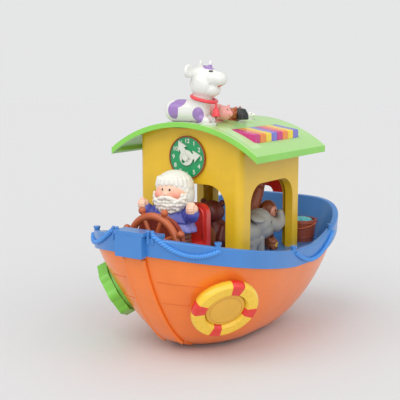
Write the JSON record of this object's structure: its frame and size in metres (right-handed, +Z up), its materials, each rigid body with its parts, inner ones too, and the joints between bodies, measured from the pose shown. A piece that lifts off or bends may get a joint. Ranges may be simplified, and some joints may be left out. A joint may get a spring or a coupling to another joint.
{
  "type": "toy ark",
  "caption": "Wheeled toy ark with an arched-roof cabin, captain at a ship's wheel, roof piano keys, animal push buttons, turning clock hands and a life-ring button.",
  "frame": {"origin": "on the ground under the middle of the whole part", "axes": "+Z up, the bow points to -Y, port is +X"},
  "size_m": [0.233, 0.342, 0.3318],
  "materials": {
    "hull_orange": "glossy moulded",
    "ship_blue": "glossy moulded",
    "cabin_yellow": "satin moulded",
    "roof_green": "glossy moulded",
    "key_magenta": "glossy moulded",
    "key_orange": "glossy moulded",
    "key_yellow": "glossy moulded",
    "key_violet": "glossy moulded",
    "dark_plastic": "matte moulded",
    "steel": "bright wire",
    "board_green": "laminate",
    "dome_rubber": "matte",
    "cell_wrap": "plain sleeve",
    "contact_brass": "bright",
    "dial_green": "glossy moulded",
    "rim_brown": "glossy moulded",
    "cream_plastic": "glossy moulded",
    "red_plastic": "glossy moulded",
    "robe_violet": "satin moulded",
    "skin_cream": "satin moulded, painted details",
    "elephant_grey": "satin moulded",
    "giraffe_brown": "satin moulded",
    "animal_brown": "satin moulded",
    "bear_brown": "satin moulded",
    "cub_brown": "satin moulded",
    "teal_plastic": "glossy moulded",
    "pig_pink": "glossy moulded",
    "wheel_grey": "matte moulded"
  },
  "bodies": {
    "hull": {"hull_shell": "hull_orange", "base_plate": "hull_orange", "gunwale": "ship_blue", "deck": "ship_blue", "bow_block": "ship_blue", "rope_swags": "ship_blue", "rail_posts": "ship_blue", "cabin_walls": "cabin_yellow", "roof": "roof_green", "ceiling_plate": "cabin_yellow", "rear_pelmet": "red_plastic", "key_tray": "dark_plastic", "key_rod": "steel", "key_domes": "dome_rubber", "circuit_board": "board_green", "animal_domes": "dome_rubber", "speaker": "dark_plastic", "battery_box": "dark_plastic", "cells": "cell_wrap", "battery_contacts": "contact_brass", "battery_door": "hull_orange", "battery_screw": "steel", "base_screws": "steel", "clock_dial": "dial_green", "clock_rim": "rim_brown", "clock_cap": "cream_plastic", "steering_post": "rim_brown", "steering_cap": "rim_brown", "chair": "red_plastic", "captain_body": "robe_violet", "captain_head": "skin_cream", "elephant": "elephant_grey", "giraffe": "giraffe_brown", "monkey": "animal_brown", "bear": "bear_brown", "cub": "cub_brown", "bucket": "rim_brown", "bucket_fill": "teal_plastic", "life_ring": "cabin_yellow", "spinner_pin": "roof_green"},
    "front_wheelset": {"front_axle": "steel", "front_wheels": "wheel_grey"},
    "rear_wheelset": {"rear_axle": "steel", "rear_wheels": "wheel_grey"},
    "helm": {"steering_wheel": "rim_brown"},
    "clock_hands": {"clock_hands": "cream_plastic"},
    "spinner": {"spinner": "roof_green"},
    "ring_button": {"ring_button": "cabin_yellow"},
    "key_1": {"key_1": "key_magenta"},
    "key_2": {"key_2": "key_orange"},
    "key_3": {"key_3": "key_yellow"},
    "key_4": {"key_4": "key_violet"},
    "key_5": {"key_5": "key_magenta"},
    "key_6": {"key_6": "key_orange"},
    "key_7": {"key_7": "key_yellow"},
    "key_8": {"key_8": "key_violet"},
    "cow": {"cow": "cream_plastic"},
    "pig": {"pig": "pig_pink"},
    "horse": {"horse": "animal_brown"},
    "lamb": {"lamb": "cream_plastic"}
  },
  "joints": [
    {"name": "front_roll", "type": "hinge", "parent": "hull", "child": "front_wheelset", "pos_m": [0, -0.024, 0.012], "axis": [1, 0, 0], "continuous": true},
    {"name": "rear_roll", "type": "hinge", "parent": "hull", "child": "rear_wheelset", "pos_m": [0, 0.042, 0.012], "axis": [1, 0, 0], "continuous": true},
    {"name": "helm_turn", "type": "hinge", "parent": "hull", "child": "helm", "pos_m": [0, -0.126, 0.132], "axis": [0, 1, 0], "continuous": true},
    {"name": "clock_turn", "type": "hinge", "parent": "hull", "child": "clock_hands", "pos_m": [0, -0.0609, 0.2227], "axis": [0, -1, 0], "continuous": true},
    {"name": "spinner_turn", "type": "hinge", "parent": "hull", "child": "spinner", "pos_m": [-0.0762, -0.0992, 0.0655], "axis": [-0.718, -0.4843, -0.5], "continuous": true},
    {"name": "ring_press", "type": "slide", "parent": "hull", "child": "ring_button", "axis": [-0.718, 0.4843, 0.5], "range_m": [0, 0.0025], "stiffness_N_per_m": 500, "springref_m": -0.004},
    {"name": "key_1_tip", "type": "hinge", "parent": "hull", "child": "key_1", "pos_m": [0.047, -0.04135, 0.24953], "axis": [0, 1, 0], "range_deg": [0, 6], "stiffness_Nm_per_rad": 0.05, "springref_deg": -5.73},
    {"name": "key_2_tip", "type": "hinge", "parent": "hull", "child": "key_2", "pos_m": [0.047, -0.02825, 0.24953], "axis": [0, 1, 0], "range_deg": [0, 6], "stiffness_Nm_per_rad": 0.05, "springref_deg": -5.73},
    {"name": "key_3_tip", "type": "hinge", "parent": "hull", "child": "key_3", "pos_m": [0.047, -0.01515, 0.24953], "axis": [0, 1, 0], "range_deg": [0, 6], "stiffness_Nm_per_rad": 0.05, "springref_deg": -5.73},
    {"name": "key_4_tip", "type": "hinge", "parent": "hull", "child": "key_4", "pos_m": [0.047, -0.00205, 0.24953], "axis": [0, 1, 0], "range_deg": [0, 6], "stiffness_Nm_per_rad": 0.05, "springref_deg": -5.73},
    {"name": "key_5_tip", "type": "hinge", "parent": "hull", "child": "key_5", "pos_m": [0.047, 0.01105, 0.24953], "axis": [0, 1, 0], "range_deg": [0, 6], "stiffness_Nm_per_rad": 0.05, "springref_deg": -5.73},
    {"name": "key_6_tip", "type": "hinge", "parent": "hull", "child": "key_6", "pos_m": [0.047, 0.02415, 0.24953], "axis": [0, 1, 0], "range_deg": [0, 6], "stiffness_Nm_per_rad": 0.05, "springref_deg": -5.73},
    {"name": "key_7_tip", "type": "hinge", "parent": "hull", "child": "key_7", "pos_m": [0.047, 0.03725, 0.24953], "axis": [0, 1, 0], "range_deg": [0, 6], "stiffness_Nm_per_rad": 0.05, "springref_deg": -5.73},
    {"name": "key_8_tip", "type": "hinge", "parent": "hull", "child": "key_8", "pos_m": [0.047, 0.05035, 0.24953], "axis": [0, 1, 0], "range_deg": [0, 6], "stiffness_Nm_per_rad": 0.05, "springref_deg": -5.73},
    {"name": "cow_press", "type": "slide", "parent": "hull", "child": "cow", "axis": [0, 0, -1], "range_m": [0, 0.0025], "stiffness_N_per_m": 600, "springref_m": -0.004},
    {"name": "pig_press", "type": "slide", "parent": "hull", "child": "pig", "axis": [0, 0, -1], "range_m": [0, 0.0025], "stiffness_N_per_m": 600, "springref_m": -0.004},
    {"name": "horse_press", "type": "slide", "parent": "hull", "child": "horse", "axis": [0, 0, -1], "range_m": [0, 0.0025], "stiffness_N_per_m": 600, "springref_m": -0.004},
    {"name": "lamb_press", "type": "slide", "parent": "hull", "child": "lamb", "axis": [0, 0, -1], "range_m": [0, 0.0025], "stiffness_N_per_m": 600, "springref_m": -0.004}
  ]
}
